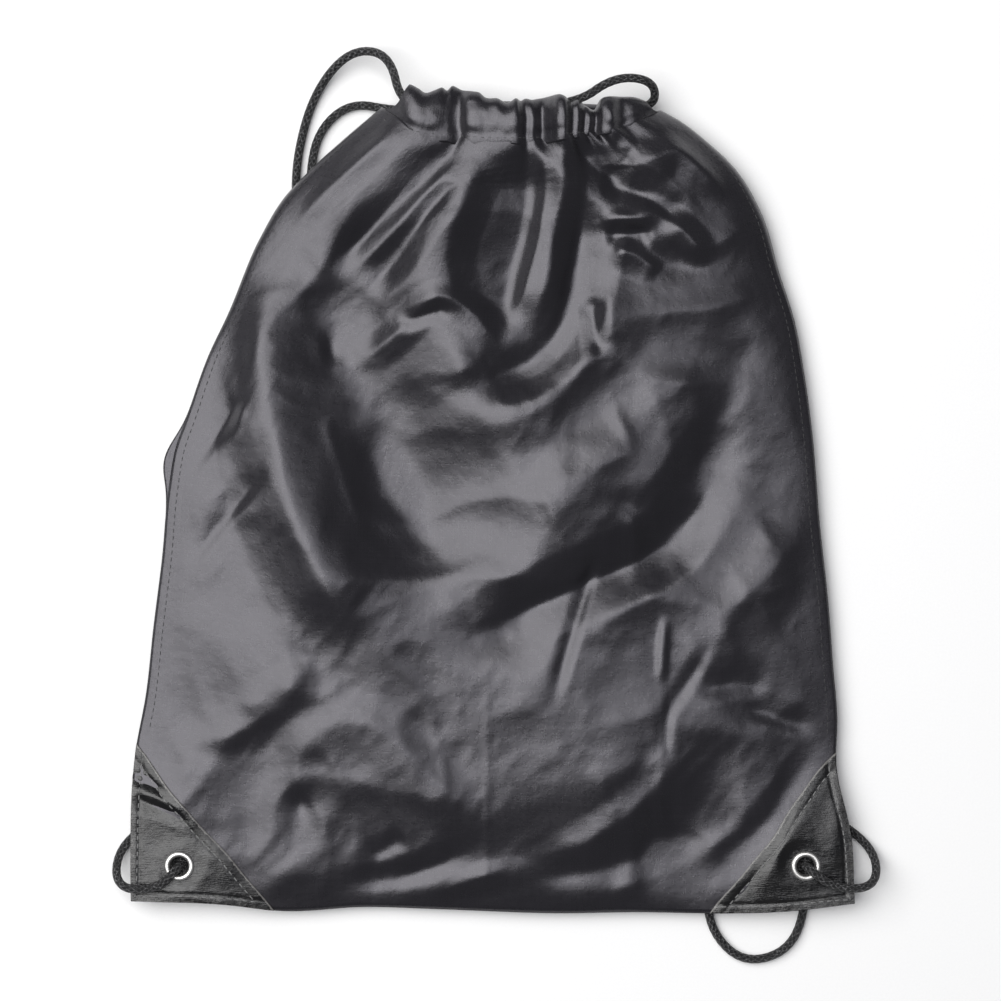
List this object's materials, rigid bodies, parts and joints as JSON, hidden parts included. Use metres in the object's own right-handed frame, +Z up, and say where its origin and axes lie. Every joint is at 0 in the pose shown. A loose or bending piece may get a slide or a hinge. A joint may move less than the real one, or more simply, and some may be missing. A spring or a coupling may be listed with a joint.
{
  "type": "drawstring backpack",
  "caption": "Flat drawstring backpack in glossy nylon with leatherette corners, metal eyelets and braided cords, lying on its back with the mouth drawn closed.",
  "frame": {"origin": "centre of the bag's footprint, on the surface that it lies on", "axes": "+X across the bag to its right corner as its front is seen, +Y from the bottom seam up to the gathered mouth, +Z up through the front"},
  "size_m": [0.3605, 0.431, 0.0323],
  "materials": {
    "front_panel": "glossy black plain-weave nylon taffeta",
    "back_panel": "glossy black plain-weave nylon taffeta",
    "casing": "gathered black nylon hem",
    "leatherette": "glossy black coated leatherette with a ribbed backing",
    "eyelet": "bright nickel-plated brass, rolled rim",
    "cord": "black braided polyester cord",
    "thread": "black polyester sewing thread"
  },
  "bodies": {
    "bag": {"back_casing": "casing", "back_casing_stitching": "thread", "back_panel": "back_panel", "front_casing": "casing", "front_casing_stitching": "thread", "front_panel": "front_panel", "left_back_patch": "leatherette", "left_back_patch_stitching": "thread", "left_cord_back_strap": "cord", "left_cord_bight": "cord", "left_cord_front_strap": "cord", "left_eyelet": "eyelet", "left_eyelet_washer": "eyelet", "left_front_patch": "leatherette", "left_front_patch_stitching": "thread", "left_knot": "cord", "left_seam_stitching": "thread", "right_back_patch": "leatherette", "right_back_patch_stitching": "thread", "right_cord_back_strap": "cord", "right_cord_bight": "cord", "right_cord_front_strap": "cord", "right_eyelet": "eyelet", "right_eyelet_washer": "eyelet", "right_front_patch": "leatherette", "right_front_patch_stitching": "thread", "right_knot": "cord", "right_seam_stitching": "thread"},
    "left_cord": {"left_cord_back_loop": "cord", "left_cord_back_run": "cord", "left_cord_front_loop": "cord", "left_cord_front_run": "cord"},
    "right_cord": {"right_cord_back_loop": "cord", "right_cord_back_run": "cord", "right_cord_front_loop": "cord", "right_cord_front_run": "cord"}
  },
  "joints": [
    {"name": "left_cord_draw", "type": "slide", "parent": "bag", "child": "left_cord", "axis": [-1, 0, 0], "range_m": [0, 0.025]},
    {"name": "right_cord_draw", "type": "slide", "parent": "bag", "child": "right_cord", "axis": [1, 0, 0], "range_m": [0, 0.025]}
  ]
}
